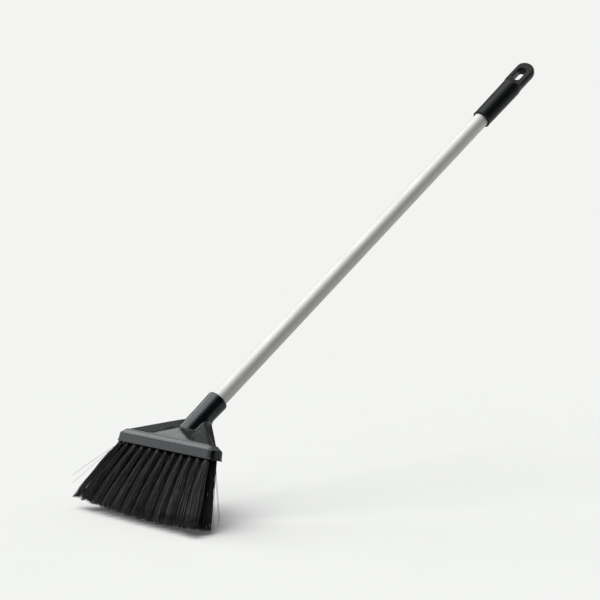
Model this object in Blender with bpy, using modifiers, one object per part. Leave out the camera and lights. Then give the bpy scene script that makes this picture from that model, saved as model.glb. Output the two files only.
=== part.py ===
"""Yard brush: a moulded head with a leaning socket, drilled tufts and a screwed tube handle.

Metres, +Z up. The brush stands as it is used: on its bristle tips at z = 0, the head's length
along X, the handle leaning back towards +Y. The origin is under the middle of its box.
"""
import math
import random

import bmesh
import bpy
from mathutils import Matrix, Vector

# Stance: how the head and the handle lean when the brush stands on its bristles
HEAD_TILT = math.radians(14.0)
HANDLE_LEAN = math.radians(52.75)
GRIP_TURN = math.radians(33.0)

# General clearance between pieces that touch, and the overrun of every cut
CLEARANCE = 0.0003
OVERRUN = 0.002

# Head: flange
HEAD_LENGTH = 0.231
HEAD_WIDTH = 0.0265
HEAD_CORNER = 0.0085
FLANGE_HEIGHT = 0.0142
LIP_PROUD = 0.0006
LIP_HEIGHT = 0.0012
SIDE_DRAFT = 0.0010
EDGE_ROUND = 0.0010
LEDGE_RISE = 0.0062
LEDGE_DEPTH = 0.0045
LEDGE_END_DEPTH = 0.0072

# Head: shoulder that rises from the flange to the socket's neck
SHOULDER_INSET = 0.0005
SHOULDER_SUNK = 0.0010
SHOULDER_HEIGHT = 0.0490
WING_REACH = 0.0260
WING_FORWARD = 0.0078
WING_RISE = 0.0010
WING_INNER_FOOT = 0.0300
WING_LAP = 0.0060
CORE_HALF_WIDTH = 0.0142
NECK_FLARE = 0.0026
NECK_SIDE_SHARE = 0.30
NECK_RISE = 0.0120

# Head: apron that swells in front of the socket's foot
APRON_HALF_LENGTH = 0.0440
APRON_FRONT_AT = 0.0340
APRON_SIDE_AT = 0.0314
APRON_BACK_AT = 0.0420
APRON_PROUD = 0.0008
APRON_TURN = math.radians(59.0)

# Head: socket, measured along the handle's axis from the middle of the flange's underside
SOCKET_SET_BACK = 0.0037
SOCKET_RIM_AT = 0.111
SOCKET_ROOT_RADIUS = 0.0162
SOCKET_RIM_RADIUS = 0.0169
SOCKET_FOOT_HEIGHT = 0.0100
SOCKET_RIM_EDGE = 0.0008
THREAD_LENGTH = 0.0240
THREAD_RADIUS = 0.0103

# Handle tube
TUBE_DIAMETER = 0.025
TUBE_WALL = 0.0011
TUBE_ENTRY = 0.0065

# Threaded plug pressed in the tube's lower end
PLUG_COLLAR = 0.0030
PLUG_SPIGOT = 0.0250
PLUG_CHAMFER = 0.0015

# Grip cap with its hanging slot, measured along the same axis
GRIP_FROM = 0.796
GRIP_LENGTH = 0.146
GRIP_RADIUS = 0.0154
GRIP_END_RADIUS = 0.0162
GRIP_LIP_PROUD = 0.0004
GRIP_LIP_WIDTH = 0.0022
TUBE_IN_GRIP = 0.082
TONGUE_THICKNESS = 0.0160
TONGUE_SET_OVER = 0.0014
TONGUE_RAMP_FROM = 0.0030
TONGUE_RAMP_LENGTH = 0.0130
SLOT_LENGTH = 0.0290
SLOT_WIDTH = 0.0125
SLOT_FROM_END = 0.0165
SLOT_SET_OVER = 0.0024
SLOT_MOUTH_FLARE = 0.0014

# Tufts: rows along the head, each shifted a share of a pitch from the front one
ROW_NAMES = ("front", "second", "third", "back")
ROW_TUFTS = (12, 11, 11, 11)
ROW_SHIFT_SHARES = (0, 0.25, 0.50, 0.75)
TUFT_END_MARGIN = 0.0100
TUFT_SIDE_MARGIN = 0.0049
HOLE_RADIUS = 0.0029
HOLE_DEPTH = 0.0090
TUFT_STANDS_PROUD = 0.0006

# Strands of each tuft
STRANDS_A_TUFT = 10
STRAND_LENGTH = 0.1067
STRAND_ROOT_SPREAD = 0.00195
STRAND_ROOT_RADIUS = 0.00042
STRAND_TIP_RADIUS = 0.00070
TUFT_TIP_HALF_WIDTH = 0.0088
TUFT_TIP_HALF_DEPTH = 0.0066
TIP_JITTER = 0.0006
LENGTH_JITTER = 0.0005
FLOOR_CUT = 0.0005

# Directions of the tufts, as sideways or forward run for each unit of depth
END_FLARE_SHARE = 0.415
SIDE_SET_SHARE = -0.03
ROW_LEAN_SHARES = (0.36, 0.31, 0.26, 0.21)
STRAND_BEND_SHARE = 0.45
STRAND_BOW_SHARE = 0.10
SIDE_BOW_SHARE = -0.028

ROUND_STEPS = 32
TUFT_SIDES = 8
STRAND_SIDES = 3
CORNER_STEPS = 4
APRON_STEPS = 10
RANDOM_SEED = 7

# Worked out from the values above
SOCKET_LEAN = HANDLE_LEAN - HEAD_TILT
TUBE_RADIUS = TUBE_DIAMETER / 2
BORE_RADIUS = TUBE_RADIUS + CLEARANCE
TUBE_BOTTOM_AT = SOCKET_RIM_AT - TUBE_ENTRY
COLLAR_BOTTOM_AT = TUBE_BOTTOM_AT - CLEARANCE - PLUG_COLLAR
BORE_STEP_AT = COLLAR_BOTTOM_AT - CLEARANCE
NOSE_BOTTOM_AT = BORE_STEP_AT - THREAD_LENGTH
TUBE_TOP_AT = GRIP_FROM + TUBE_IN_GRIP
GRIP_END_AT = GRIP_FROM + GRIP_LENGTH
HALF_LENGTH = HEAD_LENGTH / 2
HALF_WIDTH = HEAD_WIDTH / 2
LEDGE_TOP = FLANGE_HEIGHT + LEDGE_RISE
TUFT_SPAN = HEAD_LENGTH - 2 * TUFT_END_MARGIN
ROW_SPACING = (HEAD_WIDTH - 2 * TUFT_SIDE_MARGIN) / (len(ROW_TUFTS) - 1)


def new_collection(name):
    collection = bpy.data.collections.new(name)
    bpy.context.scene.collection.children.link(collection)
    return collection


for old in list(bpy.data.objects):
    bpy.data.objects.remove(old, do_unlink=True)
BRUSH = new_collection("yard_brush")
CUTTERS = new_collection("cutters")


def new_empty(name, parent=None, location=(0, 0, 0), turn=None):
    """An unseen frame that pieces are parented to."""
    empty = bpy.data.objects.new(name, None)
    BRUSH.objects.link(empty)
    empty.parent = parent
    empty.matrix_local = Matrix.Translation(location) @ (turn or Matrix.Identity(4))
    return empty


def new_material(name, colour, roughness, metallic=0.0):
    material = bpy.data.materials.new(name)
    material.use_nodes = True
    shader = material.node_tree.nodes["Principled BSDF"]
    shader.inputs["Base Color"].default_value = (*colour, 1.0)
    shader.inputs["Roughness"].default_value = roughness
    shader.inputs["Metallic"].default_value = metallic
    material.diffuse_color = (*colour, 1.0)
    return material


def new_object(name, bm, parent, material=None, smooth=None):
    """Make an object from a bmesh; without a material it is a cutter or a guide."""
    mesh = bpy.data.meshes.new(name)
    bm.to_mesh(mesh)
    bm.free()
    piece = bpy.data.objects.new(name, mesh)
    piece.parent = parent
    if material:
        BRUSH.objects.link(piece)
        mesh.materials.append(material)
    else:
        CUTTERS.objects.link(piece)
        piece.hide_render = True
        piece.display_type = "WIRE"
    if smooth:
        mesh.shade_smooth()
        mesh.set_sharp_from_angle(angle=smooth)
    return piece


def add_boolean(piece, other, operation):
    modifier = piece.modifiers.new(operation.lower() + "_" + other.name, "BOOLEAN")
    modifier.object = other
    modifier.operation = operation
    modifier.solver = "EXACT"


def turned(name, profile, parent, material, steps=ROUND_STEPS, closed=False):
    """Turn a profile of (radius, height) points round the local Z axis, top to bottom outside."""
    bm = bmesh.new()
    points = [bm.verts.new((radius, 0, height)) for radius, height in profile]
    for first, second in zip(points, points[1:]):
        bm.edges.new((first, second))
    if closed:
        bm.edges.new((points[-1], points[0]))
    piece = new_object(name, bm, parent, material)
    screw = piece.modifiers.new("turn", "SCREW")
    screw.steps = screw.render_steps = steps
    screw.use_merge_vertices = True
    screw.merge_threshold = CLEARANCE / 10
    screw.use_smooth_shade = False
    return piece


def add_ring(bm, points):
    """Add a closed ring of vertices and edges."""
    verts = [bm.verts.new(point) for point in points]
    edges = [bm.edges.new((verts[i - 1], verts[i])) for i in range(len(verts))]
    return verts, edges


def loft(rings):
    """Bridge a stack of equal rings and close both ends."""
    bm = bmesh.new()
    made = [add_ring(bm, ring) for ring in rings]
    for lower, upper in zip(made, made[1:]):
        bmesh.ops.bridge_loops(bm, edges=lower[1] + upper[1])
    bm.faces.new(made[0][0])
    bm.faces.new(made[-1][0])
    bmesh.ops.recalc_face_normals(bm, faces=bm.faces)
    return bm


def rounded_rectangle(half_length, half_width, corner_along, corner_across, height):
    """Points round a rectangle with rounded corners, in the plane at this height."""
    points = []
    for quarter in range(4):
        along = 1 if quarter in (0, 3) else -1
        across = 1 if quarter in (0, 1) else -1
        centre_x = along * (half_length - corner_along)
        centre_y = across * (half_width - corner_across)
        for step in range(CORNER_STEPS + 1):
            angle = (quarter + step / CORNER_STEPS) * math.pi / 2
            points.append(Vector((centre_x + corner_along * math.cos(angle),
                                  centre_y + corner_across * math.sin(angle), height)))
    return points


def circle(radius, height, sides=ROUND_STEPS):
    """Points round a circle about the local Z axis."""
    angles = [2 * math.pi * step / sides for step in range(sides)]
    return [Vector((radius * math.cos(a), radius * math.sin(a), height)) for a in angles]


# Frames: the brush, its head, the handle's axis and the turned grip
brush_frame = new_empty("brush_frame")
head_frame = new_empty("head_frame", brush_frame, turn=Matrix.Rotation(-HEAD_TILT, 4, "X"))
handle_turn = Matrix.Rotation(-SOCKET_LEAN, 4, "X")
socket_turn = Matrix.Translation((0, SOCKET_SET_BACK, 0)) @ handle_turn
handle_frame = new_empty("handle_frame", head_frame, (0, SOCKET_SET_BACK, 0), handle_turn)
grip_frame = new_empty("grip_frame", handle_frame, turn=Matrix.Rotation(GRIP_TURN, 4, "Z"))


def socket_section(height, flare):
    """The back half of the leaning socket's outline, flared towards its middle."""
    axis_y = SOCKET_SET_BACK + height * math.tan(SOCKET_LEAN)
    points = []
    for step in range(ROUND_STEPS // 2 + 1):
        angle = math.pi * step / (ROUND_STEPS // 2)
        swell = NECK_SIDE_SHARE + (1 - NECK_SIDE_SHARE) * math.sin(angle) ** 2
        radius = SOCKET_ROOT_RADIUS + flare * swell
        across = radius * math.sin(angle) / math.cos(SOCKET_LEAN)
        points.append(Vector((radius * math.cos(angle), axis_y + across, height)))
    return points


def flange_ring(end_inset, side_inset, height):
    """The flange's rounded outline, drawn in from its ends and its sides."""
    return rounded_rectangle(HALF_LENGTH - end_inset, HALF_WIDTH - side_inset,
                             HEAD_CORNER - side_inset, HEAD_CORNER - side_inset, height)


def hull_of(points):
    """The tight skin round a set of points."""
    bm = bmesh.new()
    for point in points:
        bm.verts.new(point)
    skin = bmesh.ops.convex_hull(bm, input=bm.verts)
    inside = [item for item in skin["geom_interior"] if isinstance(item, bmesh.types.BMVert)]
    bmesh.ops.delete(bm, geom=inside, context="VERTS")
    loose = [vert for vert in bm.verts if not vert.link_faces]
    bmesh.ops.delete(bm, geom=loose, context="VERTS")
    bmesh.ops.dissolve_limit(bm, angle_limit=math.radians(0.5), verts=bm.verts, edges=bm.edges)
    bmesh.ops.recalc_face_normals(bm, faces=bm.faces)
    return bm


def make_flange(material):
    """The slab that the tufts are drilled into, with its lip, draft and sloping ledge."""
    side_top = FLANGE_HEIGHT - EDGE_ROUND
    edge_inset = SIDE_DRAFT + EDGE_ROUND
    rings = [
        flange_ring(-LIP_PROUD, -LIP_PROUD, 0),
        flange_ring(-LIP_PROUD, -LIP_PROUD, LIP_HEIGHT),
        flange_ring(0, 0, LIP_HEIGHT + LIP_PROUD),
        flange_ring(SIDE_DRAFT, SIDE_DRAFT, side_top),
        flange_ring(edge_inset, edge_inset, FLANGE_HEIGHT),
        flange_ring(edge_inset + LEDGE_END_DEPTH, edge_inset + LEDGE_DEPTH, LEDGE_TOP),
    ]
    return new_object("brush_block", loft(rings), head_frame, material)


def shoulder_base():
    """The shoulder's outline where it leaves the ledge, sunk a little in the flange."""
    inset = SIDE_DRAFT + EDGE_ROUND + SHOULDER_INSET
    return flange_ring(inset + LEDGE_END_DEPTH, inset + LEDGE_DEPTH, LEDGE_TOP - SHOULDER_SUNK)


def make_wing(name, side):
    """One swept half of the shoulder, from the flange's end up to the socket's side and back."""
    base = shoulder_base()
    back_y = max(point.y for point in base)
    foot_z = base[0].z
    wing = [point for point in base if side * point.x > APRON_HALF_LENGTH]
    wing.append(Vector((side * APRON_HALF_LENGTH, -back_y, foot_z)))
    wing.append(Vector((side * WING_INNER_FOOT, back_y, foot_z)))
    height = SHOULDER_HEIGHT + WING_RISE
    axis_y = SOCKET_SET_BACK + height * math.tan(SOCKET_LEAN)
    wing.append(Vector((side * WING_REACH, axis_y - WING_FORWARD, height)))
    top = socket_section(SHOULDER_HEIGHT, NECK_FLARE)
    wing += [point for point in top if side * point.x > -WING_LAP]
    return new_object(name, hull_of(wing), head_frame)


def make_core():
    """The middle of the shoulder's back, which carries the socket between the two wings."""
    back = max(shoulder_base(), key=lambda point: point.y)
    half = WING_INNER_FOOT + WING_LAP
    foot = [Vector((x, back.y, back.z)) for x in (-half, half)]
    top = [point for point in socket_section(SHOULDER_HEIGHT, NECK_FLARE) if abs(point.x) < CORE_HALF_WIDTH]
    return new_object("core_guide", hull_of(foot + top), head_frame)


def make_apron():
    """The slope from the flange's front edge up to the socket's foot, between the wings."""
    points = shoulder_base()
    for point in points:
        point.x = max(-APRON_HALF_LENGTH, min(APRON_HALF_LENGTH, point.x))
    radius = SOCKET_ROOT_RADIUS + APRON_PROUD
    for step in range(APRON_STEPS + 1):
        share = 2 * step / APRON_STEPS - 1
        turn = APRON_TURN * share
        along = APRON_FRONT_AT + (APRON_SIDE_AT - APRON_FRONT_AT) * share * share
        points.append(socket_turn @ Vector((radius * math.sin(turn), -radius * math.cos(turn), along)))
    points += [socket_turn @ Vector((side * radius, 0, APRON_BACK_AT)) for side in (-1, 1)]
    return new_object("apron_guide", hull_of(points), head_frame)


def make_neck():
    """A short flare that carries the shoulder's top into the round socket."""
    lower = socket_section(SHOULDER_HEIGHT - SHOULDER_SUNK, NECK_FLARE)
    upper_at = (SHOULDER_HEIGHT + NECK_RISE) / math.cos(SOCKET_LEAN)
    upper = [socket_turn @ point for point in circle(SOCKET_ROOT_RADIUS, upper_at)]
    return new_object("neck_guide", hull_of(lower + upper), head_frame)


def make_socket():
    """The socket's round outside, its foot cut off along the shoulder's back."""
    edge_at = SOCKET_RIM_AT - SOCKET_RIM_EDGE
    rings = [
        circle(SOCKET_ROOT_RADIUS, 0),
        circle(SOCKET_ROOT_RADIUS, (SHOULDER_HEIGHT + NECK_RISE) / math.cos(SOCKET_LEAN)),
        circle(SOCKET_RIM_RADIUS, edge_at),
        circle(SOCKET_RIM_RADIUS - SOCKET_RIM_EDGE, SOCKET_RIM_AT),
    ]
    bm = loft(rings)
    bmesh.ops.transform(bm, matrix=socket_turn, verts=bm.verts)
    foot = Vector((0, 0, SOCKET_FOOT_HEIGHT))
    back_low = max(shoulder_base(), key=lambda point: point.y)
    back_high = max(socket_section(SHOULDER_HEIGHT, 0), key=lambda point: point.y)
    back_run = back_high - back_low
    back_normal = Vector((0, back_run.z, -back_run.y))
    for point, normal in ((foot, Vector((0, 0, -1))), (back_low, back_normal)):
        geometry = bm.verts[:] + bm.edges[:] + bm.faces[:]
        cut = bmesh.ops.bisect_plane(bm, geom=geometry, plane_co=point, plane_no=normal,
                                     clear_outer=True, dist=CLEARANCE / 100)
        edges = [item for item in cut["geom_cut"] if isinstance(item, bmesh.types.BMEdge)]
        bmesh.ops.contextual_create(bm, geom=edges)
    bmesh.ops.recalc_face_normals(bm, faces=bm.faces)
    return new_object("socket_guide", bm, head_frame)


def make_bore():
    """The socket's bore: wide for the tube, then narrower for the thread."""
    profile = [
        (0, SOCKET_RIM_AT + OVERRUN),
        (BORE_RADIUS, SOCKET_RIM_AT + OVERRUN),
        (BORE_RADIUS, BORE_STEP_AT),
        (THREAD_RADIUS + CLEARANCE, BORE_STEP_AT),
        (THREAD_RADIUS + CLEARANCE, NOSE_BOTTOM_AT - CLEARANCE),
        (0, NOSE_BOTTOM_AT - CLEARANCE),
    ]
    return turned("bore_cutter", profile, handle_frame, None)


def tuft_places():
    """Each tuft's name, place on the flange's underside and forward lean."""
    pitch = TUFT_SPAN / (ROW_TUFTS[0] - 1)
    for row, (label, count) in enumerate(zip(ROW_NAMES, ROW_TUFTS)):
        across = (row - (len(ROW_TUFTS) - 1) / 2) * ROW_SPACING
        for index in range(count):
            along = (index + ROW_SHIFT_SHARES[row]) * pitch - TUFT_SPAN / 2
            place = Vector((along, across, 0))
            yield f"tuft_{label}_{index + 1:02d}", place, ROW_LEAN_SHARES[row]


def make_tuft_holes():
    """One cutter that holds every blind tuft hole."""
    bm = bmesh.new()
    for _, place, _ in tuft_places():
        middle = Matrix.Translation(place + Vector((0, 0, (HOLE_DEPTH - OVERRUN) / 2)))
        bmesh.ops.create_cone(bm, cap_ends=True, segments=TUFT_SIDES, radius1=HOLE_RADIUS,
                              radius2=HOLE_RADIUS, depth=HOLE_DEPTH + OVERRUN, matrix=middle)
    return new_object("tuft_hole_cutter", bm, head_frame)


def make_block(material):
    block = make_flange(material)
    wings = (make_wing("wing_guide_right", 1), make_wing("wing_guide_left", -1))
    for guide in (*wings, make_core(), make_apron(), make_neck(), make_socket()):
        add_boolean(block, guide, "UNION")
    for cutter in (make_bore(), make_tuft_holes()):
        add_boolean(block, cutter, "DIFFERENCE")
    return block


def make_tube(material):
    inner = TUBE_RADIUS - TUBE_WALL
    profile = [
        (TUBE_RADIUS, TUBE_TOP_AT),
        (TUBE_RADIUS, TUBE_BOTTOM_AT),
        (inner, TUBE_BOTTOM_AT),
        (inner, TUBE_TOP_AT),
    ]
    return turned("handle_tube", profile, handle_frame, material, closed=True)


def make_plug(material):
    """Spigot up inside the tube, a collar under its end and a nose for the thread."""
    spigot = TUBE_RADIUS - TUBE_WALL - CLEARANCE
    collar_top = TUBE_BOTTOM_AT - CLEARANCE
    spigot_top = collar_top + PLUG_SPIGOT
    profile = [
        (0, spigot_top),
        (spigot - PLUG_CHAMFER, spigot_top),
        (spigot, spigot_top - PLUG_CHAMFER),
        (spigot, collar_top),
        (TUBE_RADIUS, collar_top),
        (TUBE_RADIUS, COLLAR_BOTTOM_AT),
        (THREAD_RADIUS, COLLAR_BOTTOM_AT),
        (THREAD_RADIUS, NOSE_BOTTOM_AT + PLUG_CHAMFER),
        (THREAD_RADIUS - PLUG_CHAMFER, NOSE_BOTTOM_AT),
        (0, NOSE_BOTTOM_AT),
    ]
    return turned("threaded_plug", profile, handle_frame, material)


def make_grip(material):
    """A sleeve over the tube that flattens into a tongue with a hanging slot."""
    half_tongue = TONGUE_THICKNESS / 2
    ramp_from = TUBE_TOP_AT + TONGUE_RAMP_FROM
    ramp_to = ramp_from + TONGUE_RAMP_LENGTH
    dome_from = GRIP_END_AT - GRIP_END_RADIUS
    lip = GRIP_RADIUS + GRIP_LIP_PROUD
    stations = [
        (GRIP_RADIUS, GRIP_FROM, GRIP_RADIUS, 0),
        (lip, GRIP_FROM + GRIP_LIP_WIDTH / 4, lip, 0),
        (lip, GRIP_FROM + GRIP_LIP_WIDTH / 2, lip, 0),
        (GRIP_RADIUS, GRIP_FROM + GRIP_LIP_WIDTH, GRIP_RADIUS, 0),
        (GRIP_END_RADIUS, ramp_from, GRIP_END_RADIUS, 0),
    ]
    ramp_steps = 3
    for step in range(1, ramp_steps + 1):
        eased = (1 - math.cos(math.pi * step / ramp_steps)) / 2
        flat = GRIP_END_RADIUS + (half_tongue - GRIP_END_RADIUS) * eased
        height = ramp_from + (ramp_to - ramp_from) * step / ramp_steps
        stations.append((GRIP_END_RADIUS, height, flat, TONGUE_SET_OVER * eased))
    dome_steps = 6
    for step in range(dome_steps):
        angle = math.pi / 2 * step / dome_steps
        height = dome_from + GRIP_END_RADIUS * math.sin(angle)
        stations.append((GRIP_END_RADIUS * math.cos(angle), height, half_tongue, TONGUE_SET_OVER))
    rings = []
    for radius, height, flat, set_over in stations:
        ring = circle(radius, height)
        for point in ring:
            point.x -= set_over
            point.y = max(-flat, min(flat, point.y))
        rings.append(ring)
    grip = new_object("hanging_grip", loft(rings), grip_frame, material)
    bore = [
        (0, TUBE_TOP_AT + CLEARANCE),
        (BORE_RADIUS, TUBE_TOP_AT + CLEARANCE),
        (BORE_RADIUS, GRIP_FROM - OVERRUN),
        (0, GRIP_FROM - OVERRUN),
    ]
    add_boolean(grip, turned("grip_bore_cutter", bore, grip_frame, None), "DIFFERENCE")
    add_boolean(grip, make_slot_cutter(), "DIFFERENCE")
    return grip


def make_slot_cutter():
    """A long rounded slot through the tongue, a little wider at both mouths."""
    half_tongue = TONGUE_THICKNESS / 2
    middle = GRIP_END_AT - SLOT_FROM_END - SLOT_LENGTH / 2
    levels = (
        (SLOT_MOUTH_FLARE + OVERRUN, half_tongue + OVERRUN),
        (0, half_tongue - SLOT_MOUTH_FLARE),
        (0, -half_tongue + SLOT_MOUTH_FLARE),
        (SLOT_MOUTH_FLARE + OVERRUN, -half_tongue - OVERRUN),
    )
    rings = []
    for grow, depth in levels:
        half_slot, half_across = SLOT_LENGTH / 2 + grow, SLOT_WIDTH / 2 + grow
        flat_ring = rounded_rectangle(half_slot, half_across, half_across, half_across, 0)
        rings.append([Vector((point.y - SLOT_SET_OVER, depth, middle + point.x))
                      for point in flat_ring])
    bm = loft(rings)
    bmesh.ops.remove_doubles(bm, verts=bm.verts, dist=CLEARANCE / 10)
    return new_object("slot_cutter", bm, grip_frame)


def strand_offsets():
    """Places of a tuft's strands about its middle, as shares of its spread, in a spiral."""
    golden_turn = math.pi * (3 - math.sqrt(5))
    for index in range(STRANDS_A_TUFT):
        reach = math.sqrt((index + 0.5) / STRANDS_A_TUFT)
        yield Vector((reach * math.cos(index * golden_turn), reach * math.sin(index * golden_turn), 0))


def strand_ring(centre, radius, turn):
    angles = [turn + 2 * math.pi * side / STRAND_SIDES for side in range(STRAND_SIDES)]
    return [centre + Vector((math.cos(a), math.sin(a), 0)) * radius for a in angles]


def head_centre_height():
    """Height of the flange's underside over the floor, so that the lowest tips are just cut."""
    tilt = Matrix.Rotation(-HEAD_TILT, 3, "X")
    lowest = min((tilt @ tip).z for _, tips in STRAND_TIPS for tip in tips)
    return -lowest - FLOOR_CUT


def tuft_tips():
    """The uncut tip of every strand, in the head's frame."""
    chance = random.Random(RANDOM_SEED)
    tufts = []
    for name, place, lean in tuft_places():
        sideways = END_FLARE_SHARE * place.x / (TUFT_SPAN / 2) + SIDE_SET_SHARE
        run = Vector((sideways, -lean, -1)).normalized()
        tips = []
        for offset in strand_offsets():
            length = STRAND_LENGTH + chance.uniform(-LENGTH_JITTER, LENGTH_JITTER)
            across = offset.y * TUFT_TIP_HALF_DEPTH
            spread = Vector((offset.x * TUFT_TIP_HALF_WIDTH, across, across * math.tan(HEAD_TILT)))
            stray = Vector((chance.uniform(-TIP_JITTER, TIP_JITTER),
                            chance.uniform(-TIP_JITTER, TIP_JITTER), 0))
            tips.append(place + spread + stray + run * length)
        tufts.append((name, tips))
    return tufts


STRAND_TIPS = tuft_tips()
HEAD_HEIGHT = head_centre_height()


def to_floor(start, end):
    """End a strand's edge at the floor where it would pass through it."""
    tilt = Matrix.Rotation(-HEAD_TILT, 3, "X")
    start_height = (tilt @ start).z + HEAD_HEIGHT
    end_height = (tilt @ end).z + HEAD_HEIGHT
    if end_height >= 0:
        return end
    return start + (end - start) * start_height / (start_height - end_height)


def make_tuft(name, place, tips, material):
    """A tuft: its folded root in the hole, and strands grown from the root's lower face."""
    bm = bmesh.new()
    radius = HOLE_RADIUS - CLEARANCE
    root = [place + point for point in circle(radius, -TUFT_STANDS_PROUD, TUFT_SIDES)]
    top = [place + point for point in circle(radius, HOLE_DEPTH - CLEARANCE, TUFT_SIDES)]
    _, root_edges = add_ring(bm, root)
    top_verts, top_edges = add_ring(bm, top)
    bmesh.ops.bridge_loops(bm, edges=root_edges + top_edges)
    bm.faces.new(top_verts)
    face_edges = list(root_edges)
    strands = []
    for index, (offset, tip) in enumerate(zip(strand_offsets(), tips)):
        base = place + offset * STRAND_ROOT_SPREAD + Vector((0, 0, -TUFT_STANDS_PROUD))
        turn = index * math.pi / STRANDS_A_TUFT
        _, edges = add_ring(bm, strand_ring(base, STRAND_ROOT_RADIUS, turn))
        face_edges += edges
        bend = base.lerp(tip, STRAND_BEND_SHARE)
        bend += offset * TUFT_TIP_HALF_DEPTH * STRAND_BOW_SHARE
        bend.x += STRAND_LENGTH * SIDE_BOW_SHARE
        middle_radius = (STRAND_ROOT_RADIUS + STRAND_TIP_RADIUS) / 2
        middle_ring = strand_ring(bend, middle_radius, turn)
        tip_ring = strand_ring(tip, STRAND_TIP_RADIUS, turn)
        tip_ring = [to_floor(start, end) for start, end in zip(middle_ring, tip_ring)]
        strands.append((edges, middle_ring, tip_ring))
    bmesh.ops.triangle_fill(bm, use_beauty=True, use_dissolve=False, edges=face_edges)
    for edges, middle_ring, tip_ring in strands:
        _, middle_edges = add_ring(bm, middle_ring)
        tip_verts, tip_edges = add_ring(bm, tip_ring)
        bmesh.ops.bridge_loops(bm, edges=edges + middle_edges)
        bmesh.ops.bridge_loops(bm, edges=middle_edges + tip_edges)
        bm.faces.new(tip_verts)
    bmesh.ops.recalc_face_normals(bm, faces=bm.faces)
    return new_object(name, bm, head_frame, material)


def stand_on_origin():
    """Lift the head to its height and centre the box of the whole brush over the origin."""
    head_frame.location.z = HEAD_HEIGHT
    bpy.context.view_layer.update()
    depsgraph = bpy.context.evaluated_depsgraph_get()
    low, high = [math.inf] * 2, [-math.inf] * 2
    for piece in BRUSH.objects:
        if piece.type != "MESH":
            continue
        shape = piece.evaluated_get(depsgraph)
        for vert in shape.data.vertices:
            place = shape.matrix_world @ vert.co
            for axis in range(2):
                low[axis] = min(low[axis], place[axis])
                high[axis] = max(high[axis], place[axis])
    middle = [(first + last) / 2 for first, last in zip(low, high)]
    brush_frame.location = (-middle[0], -middle[1], 0)
    bpy.context.view_layer.update()


moulded = new_material("moulded_polypropylene", (0.045, 0.047, 0.052), 0.45)
aluminium = new_material("satin_aluminium", (0.80, 0.80, 0.80), 0.32, metallic=1.0)
plug_nylon = new_material("plug_nylon", (0.030, 0.030, 0.032), 0.50)
grip_plastic = new_material("grip_plastic", (0.018, 0.019, 0.022), 0.48)
bristle = new_material("bristle_black", (0.012, 0.012, 0.013), 0.42)

make_block(moulded)
make_plug(plug_nylon)
make_tube(aluminium)
make_grip(grip_plastic)
for (tuft_name, tuft_place, _), (_, strand_tips) in zip(tuft_places(), STRAND_TIPS):
    make_tuft(tuft_name, tuft_place, strand_tips, bristle)
stand_on_origin()
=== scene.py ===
"""Yard brush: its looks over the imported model, in the order in which the brush is put together."""
import math
import random

import bmesh
import bpy
from mathutils import Matrix, Vector


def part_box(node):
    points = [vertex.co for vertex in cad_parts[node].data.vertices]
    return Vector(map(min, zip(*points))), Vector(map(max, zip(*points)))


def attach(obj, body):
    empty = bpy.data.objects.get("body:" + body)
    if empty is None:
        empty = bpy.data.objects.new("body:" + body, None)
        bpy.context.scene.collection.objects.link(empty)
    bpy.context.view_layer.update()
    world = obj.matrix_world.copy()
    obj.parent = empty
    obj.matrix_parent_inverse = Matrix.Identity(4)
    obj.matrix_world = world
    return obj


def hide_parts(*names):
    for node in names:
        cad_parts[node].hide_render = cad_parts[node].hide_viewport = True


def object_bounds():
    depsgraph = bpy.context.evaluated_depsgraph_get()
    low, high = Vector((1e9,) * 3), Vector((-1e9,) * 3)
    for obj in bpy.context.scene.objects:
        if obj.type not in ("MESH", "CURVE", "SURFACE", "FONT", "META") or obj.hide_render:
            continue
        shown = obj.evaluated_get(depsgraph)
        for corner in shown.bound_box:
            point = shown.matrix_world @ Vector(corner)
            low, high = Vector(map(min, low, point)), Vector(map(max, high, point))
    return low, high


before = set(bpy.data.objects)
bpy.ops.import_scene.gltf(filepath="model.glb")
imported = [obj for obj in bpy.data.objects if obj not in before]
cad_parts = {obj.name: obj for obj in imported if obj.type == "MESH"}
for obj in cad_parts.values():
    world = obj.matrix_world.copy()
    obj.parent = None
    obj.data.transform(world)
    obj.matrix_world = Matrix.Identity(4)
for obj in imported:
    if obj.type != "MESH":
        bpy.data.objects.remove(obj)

cad_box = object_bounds()


# ---------------------------------------------------------------------------------------------
# Moulded head
# One injection moulding in black polypropylene: a flange drilled for the tufts, a shoulder that
# sweeps up from it, and a socket that leans back with the handle. Its inner corners are filleted.
# ---------------------------------------------------------------------------------------------
head_tilt = math.radians(14.0)
handle_lean = math.radians(52.75)
socket_lean = handle_lean - head_tilt
socket_set_back = 0.0037
tube_bottom_at, tube_top_at, tube_radius = 0.1045, 0.878, 0.0125

tube_low, tube_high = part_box("handle_tube")
handle_way = Vector((0, math.sin(handle_lean), math.cos(handle_lean)))
handle_foot = (tube_low + tube_high) / 2 - handle_way * (tube_bottom_at + tube_top_at) / 2
handle_place = Matrix.Translation(handle_foot) @ Matrix.Rotation(-handle_lean, 4, "X")
head_back = Vector((0, math.cos(head_tilt), -math.sin(head_tilt)))
head_foot = handle_foot - head_back * socket_set_back
head_place = Matrix.Translation(head_foot) @ Matrix.Rotation(-head_tilt, 4, "X")
socket_place = Matrix.Translation((0, socket_set_back, 0)) @ Matrix.Rotation(-socket_lean, 4, "X")
round_steps, weld_gap = 96, 1e-6


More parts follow.
